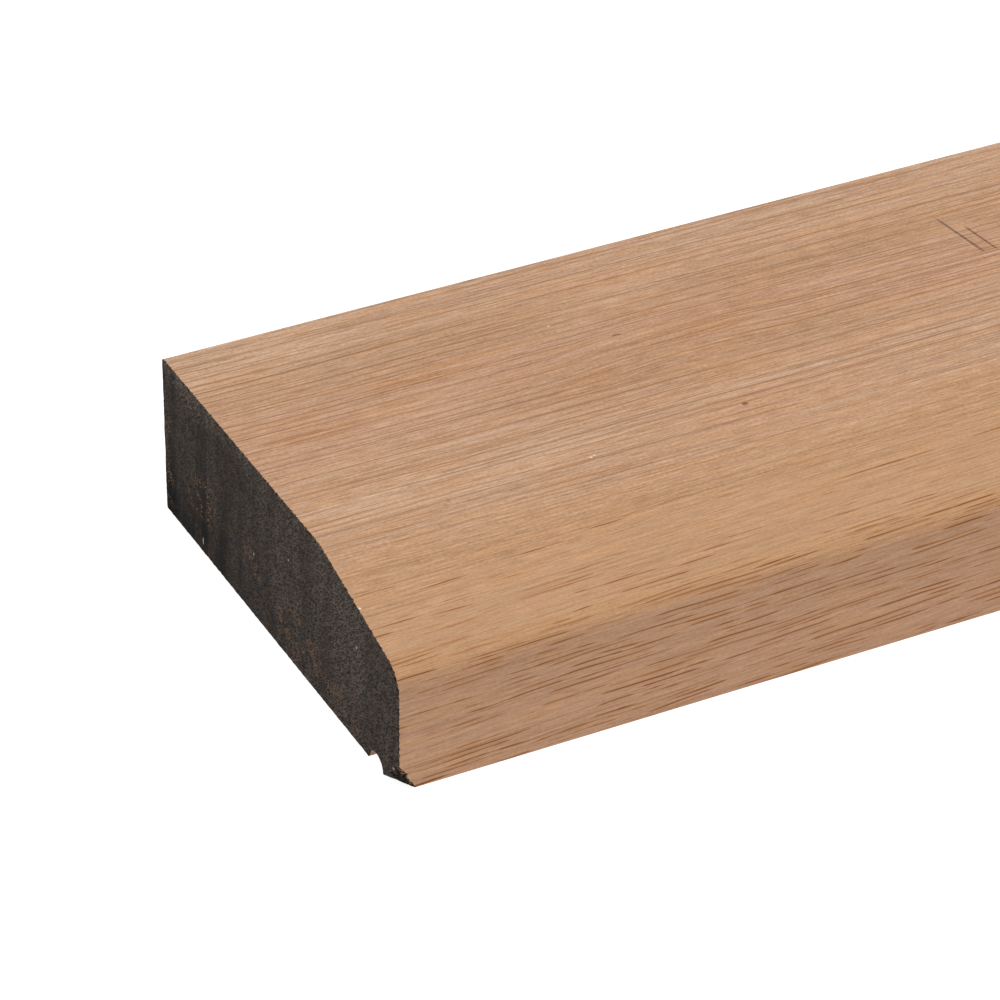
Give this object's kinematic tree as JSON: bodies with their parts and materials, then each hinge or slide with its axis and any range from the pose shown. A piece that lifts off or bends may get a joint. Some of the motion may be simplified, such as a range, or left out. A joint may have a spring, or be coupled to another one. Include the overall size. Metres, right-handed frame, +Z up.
{
  "type": "door threshold strip",
  "caption": "Solid oak door threshold with a flat top, a sloped weather bevel to a rounded nose, a drip groove underneath and sealed end grain.",
  "frame": {"origin": "middle of the underside", "axes": "+X along the strip, +Y towards the room side (the vertical back face), -Y the weather side with the bevel and nose, +Z up"},
  "size_m": [0.914, 0.145, 0.0484],
  "materials": {
    "oak": "planed and sanded bare red oak, straight grain, matt",
    "end_sealer": "charcoal end-grain sealer brushed on sawn oak, matt, fibres showing through"
  },
  "bodies": {
    "root": {"oak_sill": "oak", "end_seal_left": "end_sealer", "end_seal_right": "end_sealer"}
  },
  "joints": []
}
